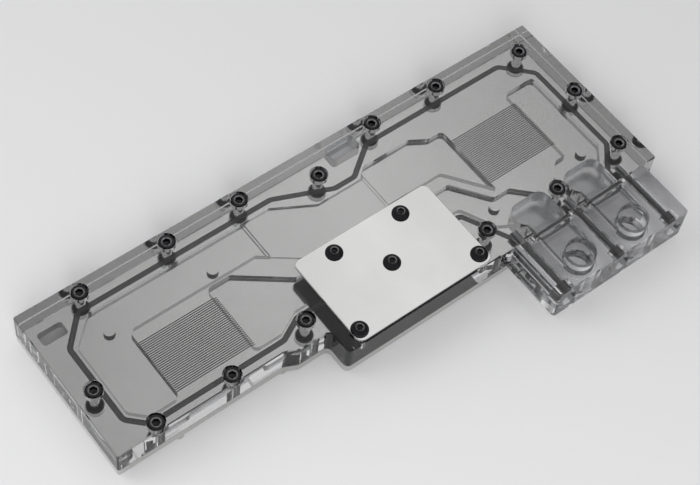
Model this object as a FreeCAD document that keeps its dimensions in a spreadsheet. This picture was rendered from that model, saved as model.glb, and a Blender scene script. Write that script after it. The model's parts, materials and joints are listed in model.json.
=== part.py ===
import FreeCAD, Part
import math
import os
import Sketcher

doc = FreeCAD.newDocument("WaterBlock")

# Driving sizes in millimetres. Across sizes run from the block's left end, or from its
# right end where the name starts with right. Down sizes run from the far edge towards
# the front, and front sizes back from the nearest front edge. Heights are taken from the water plane, the upper face of the plate. A joint
# gap, bridged by squeezed seals, parts the clear top from the plate and the terminal.
SIZES = {
    # plan of the plate and the clear top
    "block_length": 267.0,
    "block_depth": 88.9,
    "wing_step": 15.1,
    "shelf_step": 12.3,
    "slope_start": 78.0,
    "slope_run": 6.0,
    "notch_across": 98.6,
    "corner_radius": 1.0,
    "notch_radius": 2.6,
    # thickness of each layer
    "plate_thickness": 4.1,
    "top_thickness": 12.4,
    "cover_thickness": 1.0,
    "joint_gap": 0.05,
    "edge_break": 0.4,
    # the two graphics chips and the fins over them
    "chip_a_across": 54.4,
    "chip_a_front": 26.4,
    "right_chip_b": 46.4,
    "chip_b_down": 41.8,
    "fin_length": 38.8,
    "fin_slots": 29,
    "fin_pitch": 0.94,
    "fin_slot_width": 0.46,
    "fin_slot_depth": 1.8,
    "fin_inlet": 0.6,
    "fin_outlet": 2.0,
    # underside of the plate
    "chip_land_side": 38.0,
    "chip_land_height": 1.6,
    "memory_land_height": 0.8,
    "memory_land_length": 40.0,
    "memory_land_width": 10.0,
    "memory_land_gap": 16.0,
    "power_land_height": 1.2,
    "power_land_width": 15.0,
    "standoff_height": 2.4,
    "standoff_diameter": 4.8,
    "standoff_pitch_across": 50.0,
    "standoff_pitch_down": 48.0,
    "board_screw_bore": 2.5,
    "board_screw_depth": 5.2,
    "pip_diameter": 4.8,
    "pip_height": 1.7,
    # openings for tall parts of the board
    "window_a_across": 10.75,
    "window_a_down": 11.25,
    "window_a_length": 11.5,
    "window_a_width": 6.5,
    "right_window_b": 107.2,
    "window_b_down": 5.7,
    "window_b_length": 14.5,
    "window_b_width": 7.4,
    "window_b_rise": 4.6,
    "window_radius": 1.6,
    # perimeter seal in its groove
    "seal_inset": 8.6,
    "seal_left": 12.4,
    "seal_right": 8.6,
    "seal_width": 2.4,
    "seal_gap": 0.03,
    "seal_depth": 1.9,
    "seal_bend": 3.4,
    "seal_bend_tight": 2.0,
    "seal_start": 40.0,
    "seal_shoulder": 21.0,
    "seal_chamfer": 11.8,
    "seal_dip": 19.4,
    "seal_dip_start": 40.3,
    "seal_dip_left": 14.3,
    "seal_dip_right": 3.8,
    "seal_dip_end": 11.2,
    "seal_front_inset": 7.5,
    "seal_heel": 7.6,
    "seal_waist_front": 28.0,
    "seal_waist_start": 94.5,
    "right_seal_turn": 86.4,
    "seal_neck": 20.3,
    "seal_neck_end": 9.3,
    "seal_lip": 2.9,
    "seal_well_gap": 3.0,
    # water passages milled in the clear top
    "deep_passage": 2.1,
    "shallow_passage": 0.9,
    "passage_radius": 2.4,
    "passage_seal_gap": 2.6,
    "passage_far_gap": 3.3,
    "bridge_start": 102.5,
    "bridge_lap": 2.4,
    "right_bridge_end": 108.4,
    "bridge_front": 39.5,
    "bridge_dip_start": 43.8,
    "bridge_dip_left": 25.3,
    "rib_down": 28.0,
    "rib_bend": 97.5,
    "rib_slope_run": 15.4,
    "feed_down": 17.9,
    "feed_start": 2.4,
    "feed_corner_drop": 2.6,
    "feed_step_start": 34.1,
    "feed_step_end": 26.1,
    "feed_step_down": 22.6,
    "feed_tail": 17.2,
    "feed_tail_start": 33.6,
    "return_far": 29.7,
    "return_bend": 83.5,
    "return_slope_end": 105.0,
    "return_front": 43.0,
    "return_turn": 34.6,
    "return_foot": 22.3,
    "return_foot_front": 26.5,
    "return_heel": 14.1,
    "return_knee": 6.7,
    "return_knee_front": 14.9,
    "collector_right": 12.5,
    "collector_foot": 21.9,
    "collector_shelf": 25.9,
    "collector_shelf_start": 6.0,
    "well_overlap": 6.0,
    # screws that hold the clear top
    "screw_diameter": 4.0,
    "screw_length": 12.0,
    "cap_diameter": 7.0,
    "cap_height": 4.0,
    "cap_socket": 3.0,
    "cap_socket_depth": 2.0,
    "cap_sink": 4.3,
    "thread_gap": 0.02,
    "clearance_bore": 4.4,
    "counterbore": 7.8,
    # mirror cover plate and its screws
    "cover_across": 139.5,
    "cover_front": 23.2,
    "cover_length": 69.6,
    "cover_width": 45.2,
    "cover_radius": 3.0,
    "cover_screw_length": 6.0,
    "cover_bore_depth": 7.0,
    "button_diameter": 7.6,
    "button_height": 2.2,
    "button_rim": 0.7,
    "button_shoulder": 6.1,
    "button_shoulder_rise": 1.6,
    "button_crown": 3.8,
    "button_round": 1.1,
    "button_socket": 2.5,
    "button_socket_depth": 1.3,
    # terminal block with the two hose ports
    "right_terminal": 7.7,
    "terminal_length": 73.8,
    "terminal_width": 28.8,
    "terminal_radius": 1.5,
    "right_port_middle": 44.6,
    "port_pitch": 30.0,
    "port_front": 11.5,
    "port_diameter": 13.16,
    "port_recess_diameter": 16.3,
    "port_recess_depth": 1.5,
    "duct_length": 18.0,
    "duct_height": 5.0,
    "duct_radius": 1.5,
    "duct_rise": 3.2,
    "well_length": 19.4,
    "well_width": 11.6,
    "well_shift": 1.2,
    "well_wall": 5.6,
    "well_radius": 4.5,
    "duct_seal_margin": 1.0,
    "duct_seal_width": 1.9,
    "duct_seal_depth": 1.3,
    "terminal_screw_pitch": 30.1,
    "terminal_screw_bite": 7.4,
    "terminal_cap_sink": 6.2,
    "terminal_screw_spare": 0.4,
}

# Screws of the clear top: the end and the edge that each is measured from
TOP_SCREWS = [
    ("left", 27.7, "far", 4.9),
    ("left", 69.5, "far", 4.9),
    ("left", 105.7, "far", 4.9),
    ("right", 126.2, "far", 13.5),
    ("right", 91.0, "far", 4.9),
    ("right", 55.0, "far", 4.9),
    ("right", 11.2, "far", 10.7),
    ("right", 4.9, "far", 41.3),
    ("right", 8.2, "front", 14.9),
    ("right", 46.4, "front", 12.4),
    ("right", 85.0, "front", 13.4),
    ("left", 94.0, "wing", 7.0),
    ("left", 55.7, "wing", 3.8),
    ("left", 20.1, "wing", 3.8),
    ("left", 8.3, "far", 44.8),
]

# Screws of the cover plate: the end and the edge that each is measured from
COVER_SCREWS = [
    ("left", 17.1, "far", 5.7),
    ("right", 18.0, "far", 6.1),
    ("left", 33.7, "far", 22.9),
    ("left", 3.5, "front", 5.1),
    ("right", 3.7, "front", 4.9),
]

cells = list(SIZES.items())
for number, (_, across, _, down) in enumerate(TOP_SCREWS, start=1):
    cells += [(f"top_screw_{number:02}_across", across), (f"top_screw_{number:02}_down", down)]
for number, (_, across, _, down) in enumerate(COVER_SCREWS, start=1):
    cells += [(f"cover_screw_{number}_across", across), (f"cover_screw_{number}_down", down)]

dim = doc.addObject("Spreadsheet::Sheet", "Dim")
for row, (alias, size) in enumerate(cells, start=1):
    dim.set(f"A{row}", alias)
    dim.set(f"B{row}", str(size))
    dim.setAlias(f"B{row}", alias)
doc.recompute()


def number_of(expression):
    return float(dim.evalExpression(expression))


# Bodies, sketches and features

def add_body(label):
    body = doc.addObject("PartDesign::Body", label)
    body.Label = label
    return body


def place(body, across="0", down="0", height="0"):
    # The frame's origin is midway along the block and its terminal, at the lowest face
    body.setExpression("Placement.Base.x", f"{across} - Dim.block_length / 2")
    body.setExpression(
        "Placement.Base.y",
        f"(Dim.block_depth + Dim.joint_gap + Dim.terminal_width) / 2 - ({down})",
    )
    body.setExpression(
        "Placement.Base.z",
        f"Dim.standoff_height + Dim.plate_thickness + ({height})",
    )


def origin_plane(body, role):
    return next(item for item in body.Origin.OriginFeatures if item.Role == role)


def add_sketch(body, name, role="XY_Plane", offset=None):
    sketch = body.newObject("Sketcher::SketchObject", name)
    sketch.AttachmentSupport = [(origin_plane(body, role), "")]
    sketch.MapMode = "FlatFace"
    if offset:
        sketch.setExpression("AttachmentOffset.Base.z", offset)
    return sketch


def bind(sketch, constraints):
    # Each entry is a constraint and the expression that drives it, or None
    first = sketch.ConstraintCount
    sketch.addConstraint([constraint for constraint, _ in constraints])
    for index, (_, expression) in enumerate(constraints, start=first):
        if expression:
            sketch.setExpression(f"Constraints[{index}]", expression)


def pin_point(geometry, position, x, y):
    return [
        (Sketcher.Constraint("DistanceX", geometry, position, number_of(x)), x),
        (Sketcher.Constraint("DistanceY", geometry, position, number_of(y)), y),
    ]


def corner_arc(before, corner, after, radius):
    # Tangent points and centre of the arc that rounds one corner of an outline
    into = (corner - before).normalize()
    out = (after - corner).normalize()
    turn = math.atan2(into.x * out.y - into.y * out.x, into.dot(out))
    reach = radius * math.tan(abs(turn) / 2)
    start = corner - into * reach
    end = corner + out * reach
    side = 1 if turn > 0 else -1
    centre = start + FreeCAD.Vector(-into.y, into.x, 0) * radius * side
    return start, end, centre, side


def add_outline(sketch, corners):
    # A closed outline. Each corner is x, y and, where it is rounded, a radius.
    points = [FreeCAD.Vector(number_of(x), number_of(y), 0) for x, y, _ in corners]
    count = len(points)
    arcs = []
    for i, (_, _, radius) in enumerate(corners):
        if radius:
            before, after = points[i - 1], points[(i + 1) % count]
            arcs.append(corner_arc(before, points[i], after, number_of(radius)))
        else:
            arcs.append((points[i], points[i], None, 0))
    lines = []
    for i in range(count):
        line = Part.LineSegment(arcs[i][1], arcs[(i + 1) % count][0])
        lines.append(sketch.addGeometry(line, False))
    constraints = []
    for i, (x, y, radius) in enumerate(corners):
        arriving, leaving = lines[i - 1], lines[i]
        if not radius:
            constraints.append(
                (Sketcher.Constraint("Coincident", arriving, 2, leaving, 1), None))
            constraints += pin_point(leaving, 1, x, y)
            continue
        start, end, centre, side = arcs[i]
        first, last = (start, end) if side > 0 else (end, start)
        first_angle = math.atan2(first.y - centre.y, first.x - centre.x)
        last_angle = math.atan2(last.y - centre.y, last.x - centre.x)
        circle = Part.Circle(centre, FreeCAD.Vector(0, 0, 1), number_of(radius))
        arc = sketch.addGeometry(Part.ArcOfCircle(circle, first_angle, last_angle), False)
        corner = sketch.addGeometry(Part.Point(points[i]), True)
        arrive_end, leave_end = (1, 2) if side > 0 else (2, 1)
        constraints += [
            (Sketcher.Constraint("Tangent", arriving, 2, arc, arrive_end), None),
            (Sketcher.Constraint("Tangent", arc, leave_end, leaving, 1), None),
            (Sketcher.Constraint("PointOnObject", corner, 1, arriving), None),
            (Sketcher.Constraint("PointOnObject", corner, 1, leaving), None),
            (Sketcher.Constraint("Radius", arc, number_of(radius)), radius),
        ]
        constraints += pin_point(corner, 1, x, y)
    bind(sketch, constraints)


def add_box_outline(sketch, x, y, length, width, radius=None):
    # A rectangle about its middle, with all four corners rounded alike
    left, right = f"({x}) - ({length}) / 2", f"({x}) + ({length}) / 2"
    low, high = f"({y}) - ({width}) / 2", f"({y}) + ({width}) / 2"
    add_outline(sketch, [
        (left, low, radius),
        (right, low, radius),
        (right, high, radius),
        (left, high, radius),
    ])


def add_circles(sketch, centres, diameter):
    constraints = []
    for x, y in centres:
        middle = FreeCAD.Vector(number_of(x), number_of(y), 0)
        circle = Part.Circle(middle, FreeCAD.Vector(0, 0, 1), number_of(diameter) / 2)
        ring = sketch.addGeometry(circle, False)
        constraints += pin_point(ring, 3, x, y)
        constraints.append(
            (Sketcher.Constraint("Diameter", ring, number_of(diameter)), diameter))
    bind(sketch, constraints)


def add_pad(body, sketch, name, length, downwards=False):
    pad = body.newObject("PartDesign::Pad", name)
    pad.Profile = sketch
    pad.Reversed = downwards
    pad.setExpression("Length", length)
    doc.recompute()
    return pad


def add_pocket(body, sketch, name, depth=None, along_normal=False):
    # Without a depth the pocket goes right through the body
    volume = body.Shape.Volume
    pocket = body.newObject("PartDesign::Pocket", name)
    pocket.Profile = sketch
    pocket.Reversed = along_normal
    if depth:
        pocket.setExpression("Length", depth)
    else:
        pocket.Type = "ThroughAll"
    doc.recompute()
    if not body.Shape.Volume < volume:
        raise ValueError(f"{body.Label}: {name} cuts nothing")
    return pocket


def add_edge_break(body, feature, height, name, size):
    # Chamfers every edge of the feature that lies at one height
    edges = []
    for index, edge in enumerate(feature.Shape.Edges, start=1):
        box = edge.BoundBox
        if abs(box.ZMin - height) < 1e-4 and abs(box.ZMax - height) < 1e-4:
            edges.append(f"Edge{index}")
    chamfer = body.newObject("PartDesign::Chamfer", name)
    chamfer.Base = (feature, edges)
    chamfer.setExpression("Size", size)
    doc.recompute()
    return chamfer


# Places that several pieces share

FRONT = "-Dim.block_depth"
WING = "-(Dim.block_depth - Dim.wing_step)"
SHELF = "-(Dim.block_depth - Dim.shelf_step)"
CHIP_A = ("Dim.chip_a_across", f"{WING} + Dim.chip_a_front")
CHIP_B = ("Dim.block_length - Dim.right_chip_b", "-Dim.chip_b_down")
CHIPS = {"A": CHIP_A, "B": CHIP_B}
WINDOW_A = ("Dim.window_a_across", "-Dim.window_a_down")
WINDOW_B = ("Dim.block_length - Dim.right_window_b", "-Dim.window_b_down")
COVER_MIDDLE = ("Dim.cover_across", f"{FRONT} + Dim.cover_front")
DUCT_MIDDLE = "Dim.duct_rise + Dim.duct_height / 2"
PORT_MIDDLE = "Dim.block_length - Dim.right_port_middle"
PORTS = [f"{PORT_MIDDLE} - Dim.port_pitch / 2", f"{PORT_MIDDLE} + Dim.port_pitch / 2"]
PORT_DOWN = f"{FRONT} - Dim.terminal_width + Dim.port_front"
TERMINAL_BORES = [f"{PORT_MIDDLE} + ({step}) * Dim.terminal_screw_pitch" for step in (-1, 0, 1)]
TERMINAL_AXIS = "(Dim.top_thickness - Dim.plate_thickness) / 2"

ENDS = {"left": "", "right": "Dim.block_length - "}
EDGES = {"far": "-", "wing": f"{WING} + ", "front": f"{FRONT} + "}
TOP_SCREW_PLACES = []
for number, (end, _, edge, _) in enumerate(TOP_SCREWS, start=1):
    TOP_SCREW_PLACES.append((
        f"{ENDS[end]}Dim.top_screw_{number:02}_across",
        f"{EDGES[edge]}Dim.top_screw_{number:02}_down",
    ))
COVER_ENDS = {
    "left": "Dim.cover_across - Dim.cover_length / 2 + ",
    "right": "Dim.cover_across + Dim.cover_length / 2 - ",
}
COVER_EDGES = {
    "far": f"{COVER_MIDDLE[1]} + Dim.cover_width / 2 - ",
    "front": f"{COVER_MIDDLE[1]} - Dim.cover_width / 2 + ",
}
COVER_SCREW_PLACES = []
for number, (end, _, edge, _) in enumerate(COVER_SCREWS, start=1):
    COVER_SCREW_PLACES.append((
        f"{COVER_ENDS[end]}Dim.cover_screw_{number}_across",
        f"{COVER_EDGES[edge]}Dim.cover_screw_{number}_down",
    ))
STANDOFFS = []
for x, y in CHIPS.values():
    for across in (-1, 1):
        for down in (-1, 1):
            STANDOFFS.append((
                f"{x} + {across} * Dim.standoff_pitch_across / 2",
                f"{y} + {down} * Dim.standoff_pitch_down / 2",
            ))

# Plan outline shared by the plate and the clear top, from the far left corner
PLAN = [
    ("0", "0", "Dim.corner_radius"),
    ("0", WING, "Dim.corner_radius"),
    ("Dim.slope_start", WING, "Dim.notch_radius"),
    ("Dim.slope_start + Dim.slope_run", SHELF, "Dim.notch_radius"),
    ("Dim.notch_across", SHELF, "Dim.notch_radius"),
    ("Dim.notch_across", FRONT, "Dim.notch_radius"),
    ("Dim.block_length", FRONT, "Dim.corner_radius"),
    ("Dim.block_length", "0", "Dim.corner_radius"),
]

# The two wells in the clear top that feed the ports, each near its port's axis
WELLS = [f"{port} - Dim.well_shift" for port in PORTS]
WELL_DOWN = f"{FRONT} + Dim.well_wall + Dim.well_width / 2"
WELL_RISE = "Dim.duct_rise + Dim.duct_height"
WELL_LEFT = [f"{well} - Dim.well_length / 2" for well in WELLS]
WELL_RIGHT = [f"{well} + Dim.well_length / 2" for well in WELLS]

# Centre line of the perimeter seal; the first corner is only where the loop starts
SEAL_FAR = "-Dim.seal_inset"
SEAL_RIGHT = "Dim.block_length - Dim.seal_right"
SEAL_FRONT = f"{WING} + Dim.seal_front_inset"
SEAL_LIP = f"{FRONT} + Dim.seal_lip"
SEAL_WAIST = f"{FRONT} + Dim.seal_waist_front"
SEAL_NECK = f"{WELL_RIGHT[1]} + Dim.seal_well_gap"
BEND = "Dim.seal_bend"
TIGHT = "Dim.seal_bend_tight"
SEAL_LINE = [
    ("Dim.seal_left", "-Dim.seal_start", None),
    ("Dim.seal_left", "-Dim.seal_shoulder", BEND),
    ("Dim.seal_left + Dim.seal_chamfer", SEAL_FAR, BEND),
    (f"{WINDOW_B[0]} - Dim.seal_dip_start", SEAL_FAR, BEND),
    (f"{WINDOW_B[0]} - Dim.seal_dip_left", "-Dim.seal_dip", BEND),
    (f"{WINDOW_B[0]} - Dim.seal_dip_right", "-Dim.seal_dip", BEND),
    (f"{WINDOW_B[0]} + Dim.seal_dip_end", SEAL_FAR, BEND),
    ("Dim.block_length - Dim.seal_shoulder", SEAL_FAR, BEND),
    (SEAL_RIGHT, "-Dim.seal_shoulder", BEND),
    (SEAL_RIGHT, f"{FRONT} + Dim.seal_neck", BEND),
    (SEAL_NECK, f"{FRONT} + Dim.seal_neck_end", TIGHT),
    (SEAL_NECK, SEAL_LIP, TIGHT),
    (f"{WELL_LEFT[0]} - Dim.seal_well_gap", SEAL_LIP, TIGHT),
    ("Dim.block_length - Dim.right_seal_turn", SEAL_WAIST, TIGHT),
    ("Dim.seal_waist_start", SEAL_WAIST, BEND),
    ("Dim.slope_start + Dim.slope_run", SEAL_FRONT, BEND),
    ("Dim.seal_left + Dim.seal_heel", SEAL_FRONT, BEND),
    ("Dim.seal_left", f"{SEAL_FRONT} + Dim.seal_heel", BEND),
]

# Ends of the fin slots, where water enters and leaves them
INLET_A = f"{CHIP_A[0]} - Dim.fin_length / 2 + Dim.fin_inlet"
OUTLET_A = f"{CHIP_A[0]} + Dim.fin_length / 2 - Dim.fin_outlet"
INLET_B = f"{CHIP_B[0]} - Dim.fin_length / 2 + Dim.fin_inlet"
OUTLET_B = f"{CHIP_B[0]} + Dim.fin_length / 2 - Dim.fin_outlet"

# Plans of the water passages in the underside of the clear top
TURN = "Dim.passage_radius"
LEFT_WALL = "Dim.seal_left + Dim.passage_seal_gap"
FAR_WALL = "-Dim.seal_inset - Dim.passage_far_gap"
FRONT_WALL = f"{SEAL_FRONT} + Dim.passage_seal_gap"
WAIST_WALL = f"{SEAL_WAIST} + Dim.passage_seal_gap"
BRIDGE_END = "Dim.block_length - Dim.right_bridge_end"
RIB_FALL = "(Dim.bridge_front - Dim.rib_down) / Dim.rib_slope_run"
LEFT_CHAMBER = [
    (LEFT_WALL, "-Dim.seal_shoulder - Dim.passage_seal_gap / 2", TURN),
    (f"{LEFT_WALL} + Dim.seal_chamfer", FAR_WALL, TURN),
    ("Dim.bridge_start", FAR_WALL, None),
    ("Dim.bridge_start", f"-Dim.rib_down - (Dim.bridge_start - Dim.rib_bend) * {RIB_FALL}", None),
    ("Dim.rib_bend", "-Dim.rib_down", None),
    (INLET_A, "-Dim.rib_down", TURN),
    (INLET_A, FRONT_WALL, TURN),
    (f"{LEFT_WALL} + Dim.seal_heel - Dim.passage_seal_gap / 2", FRONT_WALL, TURN),
    (LEFT_WALL, f"{FRONT_WALL} + Dim.seal_heel - Dim.passage_seal_gap / 2", TURN),
]
BRIDGE = [
    ("Dim.bridge_start - Dim.bridge_lap", FAR_WALL, None),
    (f"{WINDOW_B[0]} - Dim.bridge_dip_start", FAR_WALL, TURN),
    (f"{WINDOW_B[0]} - Dim.bridge_dip_left", "-Dim.seal_dip - Dim.passage_seal_gap", TURN),
    (f"{BRIDGE_END} + Dim.bridge_lap", "-Dim.seal_dip - Dim.passage_seal_gap", None),
    (f"{BRIDGE_END} + Dim.bridge_lap", "-Dim.bridge_front", None),
    ("Dim.rib_bend + Dim.rib_slope_run", "-Dim.bridge_front", TURN),
    ("Dim.rib_bend", "-Dim.rib_down", None),
    ("Dim.rib_bend - Dim.bridge_lap", "-Dim.rib_down", None),
]
FEED = [
    (BRIDGE_END, "-Dim.feed_down - Dim.feed_corner_drop", None),
    (f"{WINDOW_B[0]} + Dim.feed_start", "-Dim.feed_down", TURN),
    (f"{CHIP_B[0]} - Dim.feed_step_start", "-Dim.feed_down", TURN),
    (f"{CHIP_B[0]} - Dim.feed_step_end", "-Dim.feed_step_down", TURN),
    (INLET_B, "-Dim.feed_step_down", TURN),
    (INLET_B, f"{CHIP_B[1]} - Dim.feed_tail", None),
    (f"{CHIP_B[0]} - Dim.feed_tail_start", "-Dim.bridge_front", TURN),
    (BRIDGE_END, "-Dim.bridge_front", None),
]
WELL_INSIDE = f"{WELL_DOWN} + Dim.well_width / 2 - Dim.well_overlap"
RETURN = [
    (OUTLET_A, "-Dim.return_far", TURN),
    ("Dim.return_bend", "-Dim.return_far", TURN),
    ("Dim.return_slope_end", f"{FRONT} + Dim.return_front", TURN),
    (f"{CHIP_B[0]} - Dim.return_turn", f"{FRONT} + Dim.return_front", TURN),
    (f"{CHIP_B[0]} - Dim.return_foot", f"{FRONT} + Dim.return_foot_front", None),
    (f"{CHIP_B[0]} - Dim.return_heel", f"{FRONT} + Dim.return_foot_front", TURN),
    (WELL_RIGHT[0], f"{WELL_DOWN} + Dim.well_width / 2", None),
    (WELL_RIGHT[0], WELL_INSIDE, None),
    (WELL_LEFT[0], WELL_INSIDE, None),
    (f"{WELL_LEFT[0]} - Dim.return_knee", f"{FRONT} + Dim.return_knee_front", TURN),
    ("Dim.block_length - Dim.right_seal_turn + Dim.passage_seal_gap / 2", WAIST_WALL, TURN),
    ("Dim.seal_waist_start + Dim.passage_seal_gap / 4", WAIST_WALL, TURN),
    ("Dim.slope_start + Dim.slope_run + Dim.passage_seal_gap / 4", FRONT_WALL, TURN),
    (OUTLET_A, FRONT_WALL, TURN),
]
COLLECTOR_RIGHT = "Dim.block_length - Dim.collector_right"
COLLECTOR_SHELF = f"{FRONT} + Dim.collector_shelf"
COLLECTOR = [
    (OUTLET_B, "-Dim.feed_step_down", TURN),
    (COLLECTOR_RIGHT, "-Dim.feed_step_down", TURN),
    (COLLECTOR_RIGHT, f"{FRONT} + Dim.collector_foot", TURN),
    (WELL_RIGHT[1], WELL_INSIDE, None),
    (WELL_LEFT[1], WELL_INSIDE, None),
    (WELL_LEFT[1], f"{COLLECTOR_SHELF} - Dim.collector_shelf_start", None),
    (f"{WELL_LEFT[1]} + Dim.collector_shelf_start", COLLECTOR_SHELF, TURN),
    (OUTLET_B, COLLECTOR_SHELF, None),
]


# Cold plate: nickel-plated copper, finned on the water side and stepped underneath

def seal_sweep(body, kind, name, section_name, width, height, proud="0", radius=None):
    # Sweeps a section round the seal's centre line, from its depth up to its proud height
    path = add_sketch(body, f"{name}Path")
    add_outline(path, SEAL_LINE)
    section = add_sketch(body, section_name, "XZ_Plane", "Dim.seal_start")
    middle = f"({proud} - {height}) / 2"
    add_box_outline(section, "Dim.seal_left", middle, width, f"{height} + {proud}", radius)
    doc.recompute()
    sweep = body.newObject(kind, name)
    sweep.Profile = section
    sweep.Spine = (path, [])
    doc.recompute()
    return sweep


def add_fins(body, chip, x, y):
    # One slot at the far side of the chip, repeated towards the front
    sketch = add_sketch(body, f"FinSlot{chip}")
    first = f"{y} + (Dim.fin_slots - 1) * Dim.fin_pitch / 2"
    add_box_outline(sketch, x, first, "Dim.fin_length", "Dim.fin_slot_width")
    slot = add_pocket(body, sketch, f"FinCut{chip}", "Dim.fin_slot_depth")
    rows = body.newObject("PartDesign::LinearPattern", f"Fins{chip}")
    rows.Originals = [slot]
    rows.Direction = (sketch, ["V_Axis"])
    rows.Reversed = True
    rows.setExpression("Length", "(Dim.fin_slots - 1) * Dim.fin_pitch")
    rows.setExpression("Occurrences", "Dim.fin_slots")
    body.Tip = rows
    doc.recompute()


def add_land(body, name, x, y, length, width, height, radius=None):
    # A raised flat on the underside that touches one group of the board's parts
    sketch = add_sketch(body, f"{name}Plan", offset="-Dim.plate_thickness")
    add_box_outline(sketch, x, y, length, width, radius)
    add_pad(body, sketch, name, height, downwards=True)


def build_cold_plate():
    body = add_body("cold_plate")
    plan = add_sketch(body, "PlatePlan")
    add_outline(plan, PLAN)
    blank = add_pad(body, plan, "Plate", "Dim.plate_thickness", downwards=True)
    add_edge_break(body, blank, 0, "PlateRim", "Dim.edge_break")

    # Lands under the chips, their memory and the power stage in the middle
    for chip, (x, y) in CHIPS.items():
        add_land(body, f"ChipLand{chip}", x, y, "Dim.chip_land_side", "Dim.chip_land_side",
                 "Dim.chip_land_height", "Dim.corner_radius")
        memory = "Dim.chip_land_side / 2 + Dim.memory_land_gap + Dim.memory_land_width / 2"
        side = "+" if chip == "A" else "-"
        add_land(body, f"MemoryLand{chip}", f"{x} {side} ({memory})", y,
                 "Dim.memory_land_width", "Dim.memory_land_length", "Dim.memory_land_height")
    add_land(body, "PowerLand", COVER_MIDDLE[0], f"{FRONT} + Dim.power_land_width",
             "Dim.cover_length", "Dim.power_land_width", "Dim.power_land_height")

    # Standoffs reach down to the board, with a blind thread in each
    posts = add_sketch(body, "StandoffPlan", offset="-Dim.plate_thickness")
    add_circles(posts, STANDOFFS, "Dim.standoff_diameter")
    add_pad(body, posts, "Standoffs", "Dim.standoff_height", downwards=True)
    feet = "-Dim.plate_thickness - Dim.standoff_height"
    bores = add_sketch(body, "BoardScrewPlan", offset=feet)
    add_circles(bores, STANDOFFS, "Dim.board_screw_bore")
    add_pocket(body, bores, "BoardScrewBores", "Dim.board_screw_depth", along_normal=True)

    # Windows right through the plate, over parts taller than the gap to the board
    windows = add_sketch(body, "WindowPlan")
    add_box_outline(windows, *WINDOW_A, "Dim.window_a_length", "Dim.window_a_width",
                    "Dim.window_radius")
    add_box_outline(windows, *WINDOW_B, "Dim.window_b_length", "Dim.window_b_width",
                    "Dim.window_radius")
    add_pocket(body, windows, "Windows")

    # Threaded holes for the clear top's screws
    threads = add_sketch(body, "ScrewThreadPlan")
    add_circles(threads, TOP_SCREW_PLACES, "Dim.screw_diameter + 2 * Dim.thread_gap")
    add_pocket(body, threads, "ScrewThreads")

    # Round pips give the board screws their depth where water runs over them
    pips = add_sketch(body, "PipPlan")
    add_circles(pips, [STANDOFFS[1], STANDOFFS[3], STANDOFFS[4], STANDOFFS[6]],
                "Dim.pip_diameter")
    add_pad(body, pips, "Pips", "Dim.pip_height")

    groove_width = "Dim.seal_width + 2 * Dim.seal_gap"
    seal_sweep(body, "PartDesign::SubtractivePipe", "SealGroove", "GrooveSection",
               groove_width, "Dim.seal_depth")
    for chip, (x, y) in CHIPS.items():
        add_fins(body, chip, x, y)
    place(body)
    return body


def build_perimeter_seal():
    body = add_body("perimeter_seal")
    seal_sweep(body, "PartDesign::AdditivePipe", "SealRing", "SealSection",
               "Dim.seal_width", "Dim.seal_depth", "Dim.joint_gap", "Dim.seal_depth / 3")
    place(body)
    return body


# Clear top: one slab of acrylic with the water passages milled into its underside

def build_clear_top():
    body = add_body("clear_top")
    plan = add_sketch(body, "TopPlan")
    add_outline(plan, PLAN)
    slab = add_pad(body, plan, "Slab", "Dim.top_thickness")
    add_edge_break(body, slab, number_of("Dim.top_thickness"), "TopRim", "Dim.edge_break")

    passages = {
        "LeftChamber": (LEFT_CHAMBER, "Dim.deep_passage"),
        "Bridge": (BRIDGE, "Dim.shallow_passage"),
        "Feed": (FEED, "Dim.deep_passage"),
        "Return": (RETURN, "Dim.deep_passage"),
        "Collector": (COLLECTOR, "Dim.deep_passage"),
    }
    for name, (corners, depth) in passages.items():
        sketch = add_sketch(body, f"{name}Plan")
        add_outline(sketch, corners)
        add_pocket(body, sketch, name, depth, along_normal=True)

    wells = add_sketch(body, "WellPlan")
    for well in WELLS:
        add_box_outline(wells, well, WELL_DOWN, "Dim.well_length", "Dim.well_width",
                        "Dim.well_radius")
    add_pocket(body, wells, "Wells", WELL_RISE, along_normal=True)
    recess = add_sketch(body, "WindowRecessPlan")
    add_box_outline(recess, *WINDOW_B, "Dim.window_b_length", "Dim.window_b_width",
                    "Dim.window_radius")
    add_pocket(body, recess, "WindowRecess", "Dim.window_b_rise", along_normal=True)

    # Counterbored holes for the socket cap screws, threads for the cover's screws
    through = add_sketch(body, "ScrewPlan")
    add_circles(through, TOP_SCREW_PLACES, "Dim.clearance_bore")
    add_pocket(body, through, "ScrewHoles", along_normal=True)
    sinks = add_sketch(body, "CounterborePlan", offset="Dim.top_thickness")
    add_circles(sinks, TOP_SCREW_PLACES, "Dim.counterbore")
    add_pocket(body, sinks, "Counterbores", "Dim.cap_sink")
    threads = add_sketch(body, "CoverThreadPlan", offset="Dim.top_thickness")
    add_circles(threads, COVER_SCREW_PLACES, "Dim.screw_diameter + 2 * Dim.thread_gap")
    add_pocket(body, threads, "CoverThreads", "Dim.cover_bore_depth")

    # Front face: a duct from each well, and threads for the terminal's screws
    ducts = add_sketch(body, "DuctMouths", "XZ_Plane", "Dim.block_depth")
    for port in PORTS:
        add_box_outline(ducts, port, DUCT_MIDDLE, "Dim.duct_length", "Dim.duct_height",
                        "Dim.duct_radius")
    add_pocket(body, ducts, "Ducts", "Dim.well_wall + Dim.well_radius")
    tapped = add_sketch(body, "TerminalThreadPlan", "XZ_Plane", "Dim.block_depth")
    bores = [(bore, TERMINAL_AXIS) for bore in TERMINAL_BORES]
    add_circles(tapped, bores, "Dim.screw_diameter + 2 * Dim.thread_gap")
    add_pocket(body, tapped, "TerminalThreads", "Dim.terminal_screw_bite + Dim.terminal_screw_spare")
    place(body, height="Dim.joint_gap")
    return body


# Terminal block: clear, with two hose ports through it and a duct to each

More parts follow.
